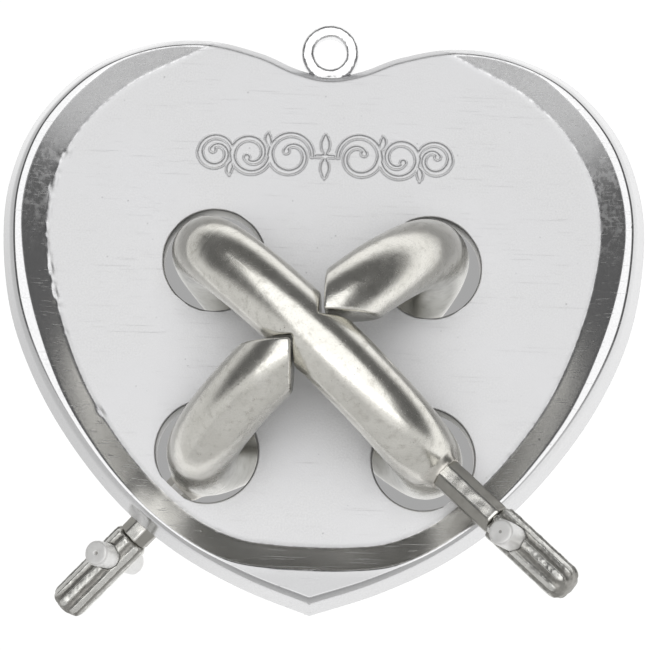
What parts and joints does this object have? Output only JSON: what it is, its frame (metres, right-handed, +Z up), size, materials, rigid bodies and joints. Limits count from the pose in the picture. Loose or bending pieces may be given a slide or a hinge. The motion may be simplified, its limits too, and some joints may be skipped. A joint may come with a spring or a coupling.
{
  "type": "disentanglement puzzle",
  "caption": "Heart-shaped cast metal plate with holes and a hanging loop, threaded by crossed open rings whose notched waists interlock, each ring with a pinned arm.",
  "frame": {"origin": "centre of the hanging loop's bore", "axes": "+Z up as the puzzle hangs from its loop, +X to the right seen from the engraved face, which looks along -Y; +Y along the loop's bore towards the back"},
  "size_m": [0.0594, 0.0348, 0.0552],
  "materials": {
    "plate": "satin nickel plating, brighter on the rim",
    "loop": "bright nickel plating",
    "ring": "soft polished warm nickel",
    "stem": "bright nickel with cast grain",
    "barrel": "worn nickel, darker in the flutes",
    "pin": "turned bright nickel"
  },
  "bodies": {
    "heart": {"heart_plate": "plate", "hanging_loop": "loop"},
    "front_bar": {"front_ring": "ring", "front_stem": "stem", "front_barrel": "barrel", "front_pin": "pin"},
    "back_bar": {"back_ring": "ring", "back_stem": "stem", "back_barrel": "barrel", "back_pin": "pin"}
  },
  "joints": [
    {"name": "front_ring_slide", "type": "slide", "parent": "heart", "child": "front_bar", "axis": [0.0506, 0.9975, -0.0488], "range_m": [-0.0018, 0.0027]},
    {"name": "back_ring_slide", "type": "slide", "parent": "heart", "child": "back_bar", "axis": [0.0506, 0.9975, -0.0488], "range_m": [-0.0014, 0.0038]}
  ]
}
